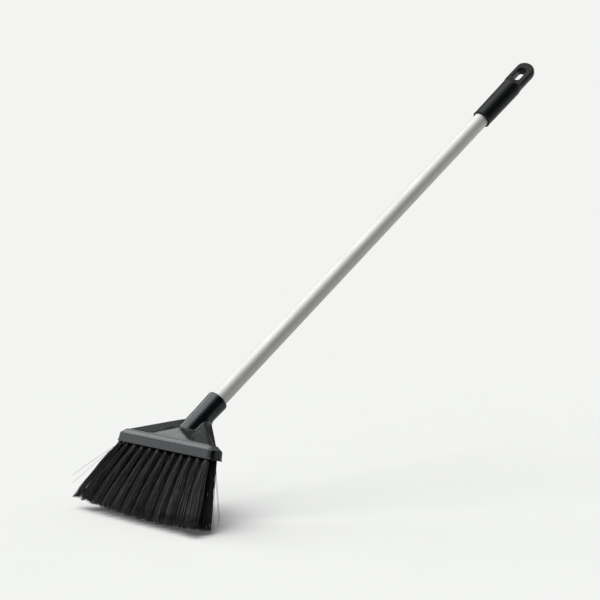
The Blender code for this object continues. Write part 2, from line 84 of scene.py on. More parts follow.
def show(name, bm, material, place=None, smooth_angle=None):
    """Put a finished bmesh in the scene as a piece of the brush."""
    if place is not None:
        bmesh.ops.transform(bm, matrix=place, verts=bm.verts)
    mesh = bpy.data.meshes.new(name)
    bm.to_mesh(mesh)
    bm.free()
    mesh.shade_smooth()
    if smooth_angle is not None:
        mesh.set_sharp_from_angle(angle=smooth_angle)
    mesh.materials.append(material)
    piece = bpy.data.objects.new(name, mesh)
    bpy.context.scene.collection.objects.link(piece)
    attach(piece, "root")
    return piece


def merge(bm, other):
    """Add another bmesh's shells to this one, and free it."""
    mesh = bpy.data.meshes.new("shell")
    other.to_mesh(mesh)
    other.free()
    bm.from_mesh(mesh)
    bpy.data.meshes.remove(mesh)


def turn_profile(profile, steps=round_steps, closed=False):
    """Spin a profile of (radius, height) points round the local Z axis."""
    bm = bmesh.new()
    points = [bm.verts.new((radius, 0, height)) for radius, height in profile]
    pairs = list(zip(points, points[1:])) + ([(points[-1], points[0])] if closed else [])
    edges = [bm.edges.new(pair) for pair in pairs]
    bmesh.ops.spin(bm, geom=points + edges, axis=(0, 0, 1), cent=(0, 0, 0), angle=2 * math.pi,
                   steps=steps, use_merge=True)
    bmesh.ops.remove_doubles(bm, verts=bm.verts, dist=weld_gap)
    bmesh.ops.recalc_face_normals(bm, faces=bm.faces)
    return bm


def add_hull(bm, points):
    """The tight skin round a set of points."""
    verts = [bm.verts.new(point) for point in points]
    skin = bmesh.ops.convex_hull(bm, input=verts)
    inside = [item for item in skin["geom_interior"] if isinstance(item, bmesh.types.BMVert)]
    bmesh.ops.delete(bm, geom=inside, context="VERTS")
    loose = [vert for vert in bm.verts if not vert.link_faces]
    bmesh.ops.delete(bm, geom=loose, context="VERTS")


# The flange, the lip under it and the sloping ledge on top of it.
half_length, half_width, head_corner = 0.1155, 0.01325, 0.0085
lip_height, lip_proud = 0.0012, 0.0006
flange_from, flange_height, side_draft = 0.0002, 0.0142, 0.0010
ledge_inset, ledge_sunk, ledge_top = 0.0016, 0.0010, 0.0204
ledge_end_draw, ledge_side_draw = 0.0082, 0.0053
corner_segments = 8


def add_slab(bm, half_x, half_y, corner, bottom, top, draw_x=0.0, draw_y=0.0):
    """A slab with round upright corners, its top drawn in from the ends and the sides."""
    middle, thickness = (top + bottom) / 2, top - bottom
    verts = bmesh.ops.create_cube(bm, size=1.0)["verts"]
    bmesh.ops.scale(bm, vec=(2 * half_x, 2 * half_y, thickness), verts=verts)
    bmesh.ops.translate(bm, vec=(0, 0, middle), verts=verts)
    edges = {edge for vert in verts for edge in vert.link_edges}
    upright = [edge for edge in edges
               if abs(edge.verts[0].co.z - edge.verts[1].co.z) > thickness / 2]
    made = bmesh.ops.bevel(bm, geom=upright, offset=corner, offset_type="OFFSET",
                           segments=corner_segments, profile=0.5, affect="EDGES", material=-1)
    for vert in {vert for face in made["faces"] for vert in face.verts}:
        if vert.co.z > middle:
            vert.co.x *= (half_x - draw_x) / half_x
            vert.co.y *= (half_y - draw_y) / half_y


def add_flange(bm):
    add_slab(bm, half_length + lip_proud, half_width + lip_proud, head_corner, 0, lip_height)
    add_slab(bm, half_length, half_width, head_corner, flange_from, flange_height, side_draft,
             side_draft)
    add_slab(bm, half_length - ledge_inset, half_width - ledge_inset, head_corner - ledge_inset,
             flange_height - ledge_sunk, ledge_top, ledge_end_draw, ledge_side_draw)


# The shoulder: two swept wings, a core behind the socket and an apron in front of it, which
# reaches further on the right. Heights named _at are measured up the socket's own axis.
shoulder_foot, shoulder_height = 0.0194, 0.0490
shoulder_end_inset, shoulder_side_inset, shoulder_corner = 0.0117, 0.0070, 0.0040
socket_root_radius, neck_flare, flare_at_sides = 0.0162, 0.0026, 0.30
wing_reach, wing_forward, wing_rise = 0.0260, 0.0078, 0.0010
wing_inner_foot, wing_lap, core_half_width = 0.0300, 0.0060, 0.0142
apron_half_length, apron_left_reach, apron_right_reach = 0.0530, 0.0500, 0.0620
apron_front_at, apron_side_at, apron_back_at = 0.0340, 0.0314, 0.0420
apron_proud, apron_half_turn, apron_half_steps = 0.0008, math.radians(59), 16
outline_steps, half_turn_steps = 48, 48


def shoulder_outline():
    """The outline where the shoulder leaves the sloping ledge."""
    flat_x = half_length - shoulder_end_inset - shoulder_corner
    flat_y = half_width - shoulder_side_inset - shoulder_corner
    points = []
    for step in range(outline_steps):
        angle = 2 * math.pi * (step + 0.5) / outline_steps
        across, along = math.cos(angle), math.sin(angle)
        points.append(Vector((math.copysign(flat_x, across) + shoulder_corner * across,
                              math.copysign(flat_y, along) + shoulder_corner * along,
                              shoulder_foot)))
    return points


def socket_back(height, flare):
    """The back half of the leaning socket's outline, flared towards its middle."""
    points = []
    for step in range(half_turn_steps + 1):
        angle = math.pi * step / half_turn_steps
        fullness = flare_at_sides + (1 - flare_at_sides) * math.sin(angle) ** 2
        radius = socket_root_radius + flare * fullness
        across = radius * math.sin(angle) / math.cos(socket_lean)
        points.append(Vector((radius * math.cos(angle),
                              socket_set_back + height * math.tan(socket_lean) + across, height)))
    return points


def apron_foot():
    """Where the apron meets the socket: an arc that sags at its sides, and two points behind."""
    radius, points = socket_root_radius + apron_proud, []
    for step in range(2 * apron_half_steps + 1):
        share = step / apron_half_steps - 1
        turn = apron_half_turn * share
        height = apron_front_at + (apron_side_at - apron_front_at) * share * share
        points.append(socket_place @ Vector((radius * math.sin(turn), -radius * math.cos(turn),
                                             height)))
    return points + [socket_place @ Vector((side * radius, 0, apron_back_at)) for side in (-1, 1)]


def add_shoulder(bm):
    base, top = shoulder_outline(), socket_back(shoulder_height, neck_flare)
    back_y = max(point.y for point in base)
    ridge_height = shoulder_height + wing_rise
    ridge_y = socket_set_back + ridge_height * math.tan(socket_lean) - wing_forward
    for side in (-1, 1):
        add_hull(bm, [point for point in base if side * point.x > apron_half_length]
                 + [Vector((side * apron_half_length, -back_y, shoulder_foot)),
                    Vector((side * wing_inner_foot, back_y, shoulder_foot)),
                    Vector((side * wing_reach, ridge_y, ridge_height))]
                 + [point for point in top if side * point.x > -wing_lap])
    core_half_foot = wing_inner_foot + wing_lap
    add_hull(bm, [Vector((x, back_y, shoulder_foot)) for x in (-core_half_foot, core_half_foot)]
             + [point for point in top if abs(point.x) < core_half_width])
    add_hull(bm, apron_foot()
             + [Vector((max(-apron_left_reach, min(apron_right_reach, point.x)), point.y, point.z))
                for point in base])
    # On the left the hollow beside the socket is filled up to the ridge.
    add_hull(bm, [Vector((x, y, shoulder_foot)) for x in (-apron_half_length, -core_half_width)
                  for y in (-back_y, back_y)]
             + [Vector((x, ridge_y, ridge_height)) for x in (-wing_reach, -core_half_width)]
             + [point for point in top if point.x < -core_half_width])


# The socket and the neck that it stands on.
socket_rim_radius, socket_rim_at, rim_chamfer = 0.0169, 0.111, 0.0008
neck_rise, neck_sunk, socket_buried_to = 0.0120, 0.0010, 0.0100


def add_socket(bm):
    neck_at = (shoulder_height + neck_rise) / math.cos(socket_lean)
    round_neck = []
    for step in range(round_steps):
        angle = 2 * math.pi * step / round_steps
        round_neck.append(socket_place @ Vector((socket_root_radius * math.cos(angle),
                                                 socket_root_radius * math.sin(angle), neck_at)))
    add_hull(bm, socket_back(shoulder_height - neck_sunk, neck_flare) + round_neck)
    socket = turn_profile([(0, 0), (socket_root_radius, 0), (socket_root_radius, neck_at),
                           (socket_rim_radius, socket_rim_at - rim_chamfer),
                           (socket_rim_radius - rim_chamfer, socket_rim_at), (0, socket_rim_at)])
    bmesh.ops.transform(socket, matrix=socket_place, verts=socket.verts)
    # Its foot is cut off inside the flange, and flush with the back of the shoulder.
    back_low = Vector((0, half_width - shoulder_side_inset, shoulder_foot))
    back_run = socket_back(shoulder_height, 0)[half_turn_steps // 2] - back_low
    for point, normal in ((Vector((0, 0, socket_buried_to)), Vector((0, 0, -1))),
                          (back_low, Vector((0, back_run.z, -back_run.y)))):
        cut = bmesh.ops.bisect_plane(socket, plane_co=point, plane_no=normal, clear_outer=True,
                                     geom=socket.verts[:] + socket.edges[:] + socket.faces[:],
                                     dist=weld_gap)
        rim = [item for item in cut["geom_cut"] if isinstance(item, bmesh.types.BMEdge)]
        bmesh.ops.contextual_create(socket, geom=rim)
    bmesh.ops.recalc_face_normals(socket, faces=socket.faces)
    merge(bm, socket)
    bmesh.ops.recalc_face_normals(bm, faces=bm.faces)


# The bore for the tube, the narrower one for the plug, and the holes for four rows of tufts.
# Each row has its name, its number of tufts and their forward lean, and stands a quarter of a
# pitch along from the one in front.
bore_radius, bore_step_at, thread_bore_radius, bore_end_at = 0.0128, 0.1009, 0.0106, 0.0766
tuft_hole_radius, tuft_hole_depth, tuft_hole_sides = 0.0029, 0.0090, 16
tuft_rows = (("front", 12, 0.36), ("second", 11, 0.31), ("third", 11, 0.26), ("back", 11, 0.21))
tuft_span, row_spacing, row_shift_share = 0.211, 0.0167 / 3, 1 / 4
tuft_pitch, middle_row = tuft_span / (tuft_rows[0][1] - 1), (len(tuft_rows) - 1) / 2
cut_overrun = 0.002


def tuft_roots():
    """Each tuft's row, number, root on the flange's underside and forward lean."""
    for step, (row, count, lean) in enumerate(tuft_rows):
        for index in range(count):
            along = (index + step * row_shift_share) * tuft_pitch - tuft_span / 2
            yield row, index + 1, Vector((along, (step - middle_row) * row_spacing, 0)), lean


def socket_bore():
    bore = turn_profile([(0, socket_rim_at + cut_overrun),
                         (bore_radius, socket_rim_at + cut_overrun), (bore_radius, bore_step_at),
                         (thread_bore_radius, bore_step_at), (thread_bore_radius, bore_end_at),
                         (0, bore_end_at)])
    bmesh.ops.transform(bore, matrix=socket_place, verts=bore.verts)
    return bore


def tuft_holes():
    holes = bmesh.new()
    for _, _, root, _ in tuft_roots():
        middle = root + Vector((0, 0, tuft_hole_depth / 2 - cut_overrun / 2))
        bmesh.ops.create_cone(holes, cap_ends=True, segments=tuft_hole_sides,
                              radius1=tuft_hole_radius, radius2=tuft_hole_radius,
                              depth=tuft_hole_depth + cut_overrun,
                              matrix=Matrix.Translation(middle))
    return holes


def add_remesh(body, voxel):
    remesh = body.modifiers.new("even_skin", "REMESH")
    remesh.mode, remesh.voxel_size, remesh.adaptivity = "VOXEL", voxel, 0.0


def remould(bm, cutters, voxel):
    """Fuse overlapping shells, cut them, and give back one even skin that can be smoothed."""
    shells = []
    for shape in [bm] + cutters:
        mesh = bpy.data.meshes.new("mould")
        shape.to_mesh(mesh)
        shape.free()
        shell = bpy.data.objects.new("mould", mesh)
        bpy.context.scene.collection.objects.link(shell)
        shells.append(shell)
    body = shells[0]
    add_remesh(body, voxel)
    for cutter in shells[1:]:
        cut = body.modifiers.new("cut", "BOOLEAN")
        cut.object, cut.operation, cut.solver = cutter, "DIFFERENCE", "EXACT"
    add_remesh(body, voxel)
    bpy.context.view_layer.update()
    evaluated = body.evaluated_get(bpy.context.evaluated_depsgraph_get())
    done = bpy.data.meshes.new_from_object(evaluated)
    skin = bmesh.new()
    skin.from_mesh(done)
    for shell in shells:
        mesh = shell.data
        bpy.data.objects.remove(shell)
        bpy.data.meshes.remove(mesh)
    bpy.data.meshes.remove(done)
    return skin


# How the skin is relaxed: an even pass moves every vertex, and a fill keeps only a small share of
# each move into the plastic, so that it fills the hollow corners and spares the edges.
even_factor, fill_factor, inward_share, refresh_every = 0.5, 0.9, 0.05, 8


def smooth_where(bm, passes, chosen, fill_only=False):
    """Relax the chosen vertices towards their neighbours, or only fill in the hollow corners."""
    verts = [vert for vert in bm.verts if chosen(vert.co)]
    for step in range(passes):
        if fill_only and step % refresh_every == 0:
            bm.normal_update()
        before = [vert.co.copy() for vert in verts] if fill_only else []
        bmesh.ops.smooth_vert(bm, verts=verts, factor=fill_factor if fill_only else even_factor,
                              use_axis_x=True, use_axis_y=True, use_axis_z=True)
        for vert, place in zip(verts, before):
            move = vert.co - place
            if move.dot(vert.normal) < 0:
                vert.co = place + move * inward_share


# How fine the head's skin is, and where and how often it is relaxed: over the whole shoulder, in
# the hollows beside the apron, round the socket's foot, and along the flange's upper edge.
head_voxel, skin_passes = 0.00083, 2
shoulder_passes, over_ledge, shoulder_to = 7, 0.0008, 0.100
right_apron_passes, left_apron_passes = 60, 12
beside_from, beside_past, beside_back_y = 0.004, 0.006, 0.026
beside_over_ledge, beside_top, beside_socket = 0.0010, 0.0370, 0.0010
foot_passes, foot_over_ledge, foot_to = 80, 0.0012, 0.092
foot_inside, foot_outside = 0.0020, 0.0160
flange_edge_passes, flange_edge_from, flange_edge_to = 3, 0.0122, 0.0160


def fillet_head(skin):
    """Fillets where the socket, the apron and the wings meet, and a softened flange edge."""
    to_socket = socket_place.inverted()

    def over_the_ledge(co):
        return co.z > ledge_top + over_ledge and (to_socket @ co).z < shoulder_to

    def beside_the_apron(side):
        def chosen(co):
            spot = to_socket @ co
            return (beside_from < side * co.x < apron_half_length + beside_past
                    and co.y < beside_back_y
                    and ledge_top + beside_over_ledge < co.z < beside_top
                    and math.hypot(spot.x, spot.y) > socket_root_radius + beside_socket)
        return chosen

    def round_the_foot(co):
        spot = to_socket @ co
        off_axis = math.hypot(spot.x, spot.y) - socket_root_radius
        return (co.z > ledge_top + foot_over_ledge and spot.z < foot_to
                and -foot_inside < off_axis < foot_outside)

    smooth_where(skin, skin_passes, lambda co: True)
    smooth_where(skin, shoulder_passes, over_the_ledge)
    smooth_where(skin, right_apron_passes, beside_the_apron(1))
    smooth_where(skin, left_apron_passes, beside_the_apron(-1))
    smooth_where(skin, foot_passes, round_the_foot, fill_only=True)
    smooth_where(skin, flange_edge_passes, lambda co: flange_edge_from < co.z < flange_edge_to)


groove_end_inset, groove_side_inset, groove_corner = 0.0115, 0.0067, 0.0042
groove_depth, groove_width, groove_below, groove_band = 0.0010, 0.0009, 0.0003, 0.0030


def press_groove(skin):
    """The shallow groove all round, where the shoulder leaves the ledge."""
    half_x, half_y = half_length - groove_end_inset, half_width - groove_side_inset
    for vert in skin.verts:
        if abs(vert.co.z - ledge_top) < groove_band:
            past = math.hypot(max(abs(vert.co.x) - half_x + groove_corner, 0),
                              max(abs(vert.co.y) - half_y + groove_corner, 0)) - groove_corner
            reach = math.hypot(past, vert.co.z - ledge_top + groove_below)
            vert.co -= vert.normal * groove_depth * math.exp(-(reach / groove_width) ** 2)


def mould_head():
    bm = bmesh.new()
    add_flange(bm)
    add_shoulder(bm)
    add_socket(bm)
    skin = remould(bm, [socket_bore(), tuft_holes()], head_voxel)
    fillet_head(skin)
    press_groove(skin)
    return skin


def new_finish(name, colour, roughness, metallic=0.0):
    """A Principled material, its node tree and its shader."""
    material = bpy.data.materials.new(name)
    material.use_nodes = True
    tree = material.node_tree
    shader = tree.nodes["Principled BSDF"]
    shader.inputs["Base Color"].default_value = (*colour, 1.0)
    shader.inputs["Roughness"].default_value = roughness
    shader.inputs["Metallic"].default_value = metallic
    return material, tree, shader


def add_node(tree, kind, **inputs):
    """A node with its sockets linked or set, by name, or by number as i0, i1 and so on."""
    node = tree.nodes.new(kind)
    for name, value in inputs.items():
        numbered = name[0] == "i" and name[1:].isdigit()
        socket = node.inputs[int(name[1:]) if numbered else name]
        if isinstance(value, bpy.types.NodeSocket):
            tree.links.new(value, socket)
        else:
            socket.default_value = value
    return node


def ramp(tree, source, stops):
    """A colour ramp of (place, colour) stops."""
    node = tree.nodes.new("ShaderNodeValToRGB")
    tree.links.new(source, node.inputs["Fac"])
    while len(node.color_ramp.elements) < len(stops):
        node.color_ramp.elements.new(0.5)
    for element, (place, colour) in zip(node.color_ramp.elements, stops):
        element.position = place
        element.color = (*colour, 1.0)
    return node.outputs["Color"]


def rescale(tree, value, before, after, eased=False):
    """A value carried from one range, of two ends, to another."""
    node = add_node(tree, "ShaderNodeMapRange", Value=value)
    node.interpolation_type = "SMOOTHSTEP" if eased else "LINEAR"
    for name, end in zip(("From Min", "From Max", "To Min", "To Max"), before + after):
        node.inputs[name].default_value = end
    return node.outputs["Result"]


def moulded_finish(name, dark, light, roughness, cloud_scale, grain_depth, gleam):
    """Moulded plastic: soft clouding in its colour and gloss, and a fine eroded grain."""
    material, tree, shader = new_finish(name, dark, roughness[0])
    shader.inputs["Specular IOR Level"].default_value = gleam
    shader.inputs["Specular Tint"].default_value = (0.90, 0.96, 1.0, 1.0)
    place = add_node(tree, "ShaderNodeTexCoord").outputs["Object"]
    cloud = add_node(tree, "ShaderNodeTexNoise", Vector=place, Scale=cloud_scale, Detail=5.0,
                     Roughness=0.6)
    colour = ramp(tree, cloud.outputs["Fac"], [(0.30, dark), (0.72, light)])
    tree.links.new(colour, shader.inputs["Base Color"])
    patches = add_node(tree, "ShaderNodeTexNoise", Vector=place, Scale=cloud_scale * 3.1,
                       Detail=6.0)
    gloss = rescale(tree, patches.outputs["Fac"], (0.3, 0.7), roughness)
    tree.links.new(gloss, shader.inputs["Roughness"])
    grain = add_node(tree, "ShaderNodeTexNoise", Vector=place, Scale=2600.0, Detail=3.0)
    bump = add_node(tree, "ShaderNodeBump", Height=grain.outputs["Fac"], Strength=0.05,
                    Distance=grain_depth)
    tree.links.new(bump.outputs["Normal"], shader.inputs["Normal"])
    return material


head_plastic = moulded_finish("black_polypropylene", dark=(0.0024, 0.0030, 0.0040),
                              light=(0.0040, 0.0048, 0.0060), roughness=(0.24, 0.30),
                              cloud_scale=70.0, grain_depth=0.00005, gleam=0.52)
head = show("moulded_head", mould_head(), head_plastic, head_place)
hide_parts("brush_block")


# ---------------------------------------------------------------------------------------------
# Bristle tufts
# Black plastic filaments, folded and stapled in their holes: 45 tufts in four rows. Each leaves
# its hole as a tight bundle and opens like a paintbrush, and the tips are trimmed nearly level.
# ---------------------------------------------------------------------------------------------
filament_radius, filament_sides, filament_rings, tip_slimming = 0.00034, 4, 7, 0.18
filaments_a_tuft, root_spread, held_share, held_depth = 62, 0.0024, 0.06, 0.0040
way_share = 0.02
bristle_length, cut_short, cut_scatter = 0.1067, 0.0022, 0.0020
tip_half_width, tip_half_depth, tip_scatter = 0.0094, 0.0072, 0.0011
side_bow, bow_scatter, belly, curl_scatter = -0.0026, 0.0008, 0.0016, 0.0006
# The front row's filaments lean to the light grey, a painted sheen; the inner rows' are held near
# black, painted shade.
front_sheen_power, inner_shade_share = 0.55, 0.80
golden_turn = math.pi * (3 - math.sqrt(5))
floor_at = cad_box[0][2]

# The tufts fan out towards the head's ends, where they are also fuller on their inner side.
end_flare, side_set = 0.368, -0.012
end_reach, end_filaments, inner_fullness = 0.016, 130, 2.2

# Stray filaments, by the tuft that they leave: the way across, forward and down, and the length.
# The strays are painted light grey, a painted sheen.
stray_radius, stray_lift, stray_sheen_tone = 0.00030, 0.0015, 0.95
stray_ways = {
    ("front", 1): ((-0.95, -0.72, -1.16, 0.092), (-0.80, -0.60, -1.18, 0.098),
                   (-0.70, -0.42, -1.20, 0.100)),
    ("back", 11): ((0.37, -0.08, -1.00, 0.098), (0.44, 0.00, -1.00, 0.090),
                   (0.34, 0.04, -1.00, 0.096)),
    ("third", 11): ((0.42, -0.12, -1.00, 0.100), (0.40, -0.02, -1.00, 0.088)),
}


def bristle_finish():
    """Black filament: near black and each one a little different; the lightest ones get a painted
    grey sheen.
    """
    material, tree, shader = new_finish("black_filament", (0.006, 0.006, 0.007), 0.38)
    tone_and_sheen = tree.nodes.new("ShaderNodeAttribute")
    tone_and_sheen.attribute_name = "filament_tone_and_sheen"
    # The light grey at the ramp's top end is a painted sheen; below it the tone differs at random.
    colour = ramp(tree, tone_and_sheen.outputs["Fac"],
                  [(0.0, (0.0015, 0.0015, 0.0018)), (0.78, (0.005, 0.005, 0.0055)),
                   (1.0, (0.085, 0.085, 0.088))])
    tree.links.new(colour, shader.inputs["Base Color"])
    place = add_node(tree, "ShaderNodeTexCoord").outputs["Object"]
    wear = add_node(tree, "ShaderNodeTexNoise", Vector=place, Scale=300.0, Detail=2.0)
    sheen = add_node(tree, "ShaderNodeMath", i0=tone_and_sheen.outputs["Fac"], i1=wear.outputs["Fac"])
    sheen.operation = "ADD"
    gloss = rescale(tree, sheen.outputs["Value"], (0.4, 1.5), (0.62, 0.24))
    tree.links.new(gloss, shader.inputs["Roughness"])
    return material


def straight_filament():
    """A straight filament of unit length, pointing down, with a closed tip."""
    bm = bmesh.new()
    bmesh.ops.create_cone(bm, cap_ends=True, segments=filament_sides, radius1=1.0, radius2=1.0,
                          depth=1.0, matrix=Matrix.Translation((0, 0, -0.5)))
    for ring in range(1, filament_rings):
        bmesh.ops.bisect_plane(bm, geom=bm.verts[:] + bm.edges[:] + bm.faces[:],
                               plane_co=(0, 0, -ring / filament_rings), plane_no=(0, 0, 1),
                               dist=weld_gap)
    mesh = bpy.data.meshes.new("filament")
    bm.to_mesh(mesh)
    bm.free()
    return mesh


def add_filament(bm, tone_and_sheen_layer, pattern, path, radius, turn, tone_and_sheen):
    """Lay one filament along a path, a function of the share of its length, above the floor."""
    before = len(bm.verts)
    bm.from_mesh(pattern)
    bm.verts.ensure_lookup_table()
    for vert in bm.verts[before:]:
        share = -vert.co.z
        centre = path(share)
        ahead = path(min(1.0, share + way_share)) - path(max(0.0, share - way_share))
        ahead.normalize()
        side = ahead.cross(Vector((math.cos(turn), math.sin(turn), 0))).normalized()
        other = ahead.cross(side)
        slim = radius * (1.0 - tip_slimming * share)
        spot = centre + side * vert.co.x * slim + other * vert.co.y * slim
        spot.z = max(spot.z, floor_at)
        vert.co = spot
        vert[tone_and_sheen_layer] = tone_and_sheen


def tuft_of_filaments(row, number, root, lean, chance, pattern):
    """A tuft's filaments, set out in a golden spiral, and any strays that leave it."""
    bm = bmesh.new()
    tone_and_sheen_layer = bm.verts.layers.float.new("filament_tone_and_sheen")
    flare = end_flare * root.x / (tuft_span / 2) + side_set
    at_the_end = abs(root.x) > tuft_span / 2 - end_reach
    run = Vector((flare, -lean, -1)).normalized()
    count = end_filaments if at_the_end else filaments_a_tuft
    laid = []
    for index in range(count):
        reach = math.sqrt((index + 0.5) / count)
        offset = Vector((reach * math.cos(index * golden_turn),
                         reach * math.sin(index * golden_turn), 0))
        wide = inner_fullness if at_the_end and offset.x * root.x < 0 else 1.0
        outward = Vector((offset.x * wide, offset.y, 0))
        start = root + outward * root_spread
        length = bristle_length - abs(chance.gauss(cut_short, cut_scatter))
        deep = offset.y * tip_half_depth
        tip = (root + run * length
               + Vector((offset.x * tip_half_width * (0.5 + wide / 2), deep,
                         deep * math.tan(head_tilt)))
               + Vector((chance.gauss(0, tip_scatter), chance.gauss(0, tip_scatter), 0)))
        bow = (Vector((side_bow + chance.gauss(0, bow_scatter), chance.gauss(0, bow_scatter), 0))
               + outward * belly)
        # Front row filaments are painted lighter, a painted sheen; the inner rows' are held darker
        # as painted shade.
        tone_and_sheen = chance.random()
        tone_and_sheen = tone_and_sheen ** front_sheen_power if row == "front" else tone_and_sheen * inner_shade_share
        laid.append((start, tip, bow, filament_radius, tone_and_sheen))
    for across, forward, down, length in stray_ways.get((row, number), ()):
        tip = root + Vector((across, forward, down)).normalized() * length
        laid.append((root, tip, Vector((0, 0, stray_lift)), stray_radius, stray_sheen_tone))

    for start, tip, bow, radius, tone_and_sheen in laid:
        curl = Vector((chance.gauss(0, curl_scatter), chance.gauss(0, curl_scatter), 0))

        def path(share, start=start, tip=tip, bow=bow, curl=curl):
            if share < held_share:
                in_the_hole = held_depth * (1 - share / held_share)
                return head_place @ (start + Vector((0, 0, in_the_hole)))
            along = (share - held_share) / (1 - held_share)
            spot = start.lerp(tip, along) + bow * 4 * along * (1 - along)
            return head_place @ (spot + curl * math.sin(along * 2 * math.pi))

        add_filament(bm, tone_and_sheen_layer, pattern, path, radius, chance.uniform(0, math.pi), tone_and_sheen)
    return bm


filament_black = bristle_finish()
filament_pattern = straight_filament()
bristle_chance = random.Random(11)
for row, number, root, lean in tuft_roots():
    node = f"tuft_{row}_{number:02d}"
    tuft = show("bristles_" + node, tuft_of_filaments(row, number, root, lean, bristle_chance,
                                                     filament_pattern), filament_black)
    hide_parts(node)
bpy.data.meshes.remove(filament_pattern)


# ---------------------------------------------------------------------------------------------
# Threaded plug
# A black nylon plug pressed in the tube's lower end: a spigot inside the tube, a thin collar
# under its edge, and a coarse thread that screws down into the socket.
# ---------------------------------------------------------------------------------------------
spigot_top_at, spigot_inset, plug_chamfer, plug_steps = 0.1292, 0.0014, 0.0015, 64
collar_bottom_at, collar_top_at, collar_chamfer, nose_bottom_at = 0.1012, 0.1042, 0.0003, 0.0769
thread_root_radius, thread_crest_radius, thread_sunk = 0.0091, 0.0103, 0.0003
thread_above_nose, thread_pitch, thread_turns, steps_a_turn = 0.0022, 0.0045, 4, 32
crest_from, crest_to, tooth_height = 0.0012, 0.0018, 0.0030
crisp_edge = math.radians(35)


def add_thread(bm):
    """A tooth wound up round the nose."""
    ridge = bmesh.new()
    foot, start = thread_root_radius - thread_sunk, nose_bottom_at + thread_above_nose
    tooth = [(foot, start), (thread_crest_radius, start + crest_from),
             (thread_crest_radius, start + crest_to), (foot, start + tooth_height)]
    verts = [ridge.verts.new((radius, 0, height)) for radius, height in tooth]
    face = ridge.faces.new(verts)
    bmesh.ops.spin(ridge, geom=[face] + verts + face.edges[:], axis=(0, 0, 1), cent=(0, 0, 0),
                   dvec=(0, 0, thread_pitch / steps_a_turn), angle=2 * math.pi * thread_turns,
                   steps=steps_a_turn * thread_turns, use_merge=False)
    bmesh.ops.recalc_face_normals(ridge, faces=ridge.faces)
    merge(bm, ridge)


def turn_plug():
    spigot, collar = tube_radius - spigot_inset, tube_radius - collar_chamfer
    bm = turn_profile([(0, spigot_top_at), (spigot - plug_chamfer, spigot_top_at),
                       (spigot, spigot_top_at - plug_chamfer), (spigot, collar_top_at),
                       (collar, collar_top_at), (tube_radius, collar_top_at - collar_chamfer),
                       (tube_radius, collar_bottom_at + collar_chamfer),
                       (collar, collar_bottom_at), (thread_root_radius, collar_bottom_at),
                       (thread_root_radius, nose_bottom_at + plug_chamfer),
                       (thread_root_radius - plug_chamfer, nose_bottom_at), (0, nose_bottom_at)],
                      plug_steps)
    add_thread(bm)
    return bm


plug_nylon = moulded_finish("plug_nylon", dark=(0.014, 0.014, 0.015), light=(0.022, 0.022, 0.023),
                            roughness=(0.40, 0.52), cloud_scale=120.0, grain_depth=0.00005,
                            gleam=0.5)
plug = show("screw_plug", turn_plug(), plug_nylon, handle_place, crisp_edge)
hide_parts("threaded_plug")


# ---------------------------------------------------------------------------------------------
# Handle tube
# Drawn aluminium tube, 25 mm across with a thin wall, satin all along from the drawing and the
# finishing belt. Its cut ends are just broken smooth.
# ---------------------------------------------------------------------------------------------
tube_wall, tube_edge, tube_stations = 0.0011, 0.00025, 40


def draw_tube():
    inner, straight = tube_radius - tube_wall, tube_top_at - tube_bottom_at - 2 * tube_edge
    outside = [(tube_radius, tube_bottom_at + tube_edge + straight * step / tube_stations)
               for step in range(tube_stations + 1)]
    ends = [(tube_radius - tube_edge, tube_top_at), (inner, tube_top_at),
            (inner, tube_bottom_at), (tube_radius - tube_edge, tube_bottom_at)]
    return turn_profile(outside + ends, closed=True)


def aluminium_finish():
    """Satin aluminium: fine lines drawn out along the tube, and soft patches in its gloss."""
    material, tree, shader = new_finish("satin_aluminium", (0.68, 0.68, 0.675), 0.72, metallic=1.0)
    place = add_node(tree, "ShaderNodeTexCoord").outputs["Object"]
    along = tree.nodes.new("ShaderNodeMapping")
    along.vector_type = "TEXTURE"
    along.inputs["Rotation"].default_value = (-handle_lean, 0, 0)
    along.inputs["Location"].default_value = handle_foot
    tree.links.new(place, along.inputs["Vector"])
    drawn = add_node(tree, "ShaderNodeVectorMath", i0=along.outputs["Vector"], i1=(1.0, 1.0, 0.012))
    drawn.operation = "MULTIPLY"
    lines = add_node(tree, "ShaderNodeTexNoise", Vector=drawn.outputs["Vector"], Scale=1400.0,
                     Detail=3.0, Roughness=0.5)
    patches = add_node(tree, "ShaderNodeTexNoise", Vector=along.outputs["Vector"], Scale=28.0,
                       Detail=5.0)
    both = add_node(tree, "ShaderNodeMath", i0=lines.outputs["Fac"], i1=patches.outputs["Fac"])
    both.operation = "ADD"
    gloss = rescale(tree, both.outputs["Value"], (0.7, 1.3), (0.68, 0.76))
    tree.links.new(gloss, shader.inputs["Roughness"])
    colour = ramp(tree, lines.outputs["Fac"],
                  [(0.25, (0.66, 0.66, 0.655)), (0.75, (0.70, 0.70, 0.695))])
    tree.links.new(colour, shader.inputs["Base Color"])
    bump = add_node(tree, "ShaderNodeBump", Height=lines.outputs["Fac"], Strength=0.03,
                    Distance=0.00002)
    tree.links.new(bump.outputs["Normal"], shader.inputs["Normal"])
    return material


tube = show("handle_tube_drawn", draw_tube(), aluminium_finish(), handle_place, crisp_edge)
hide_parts("handle_tube")


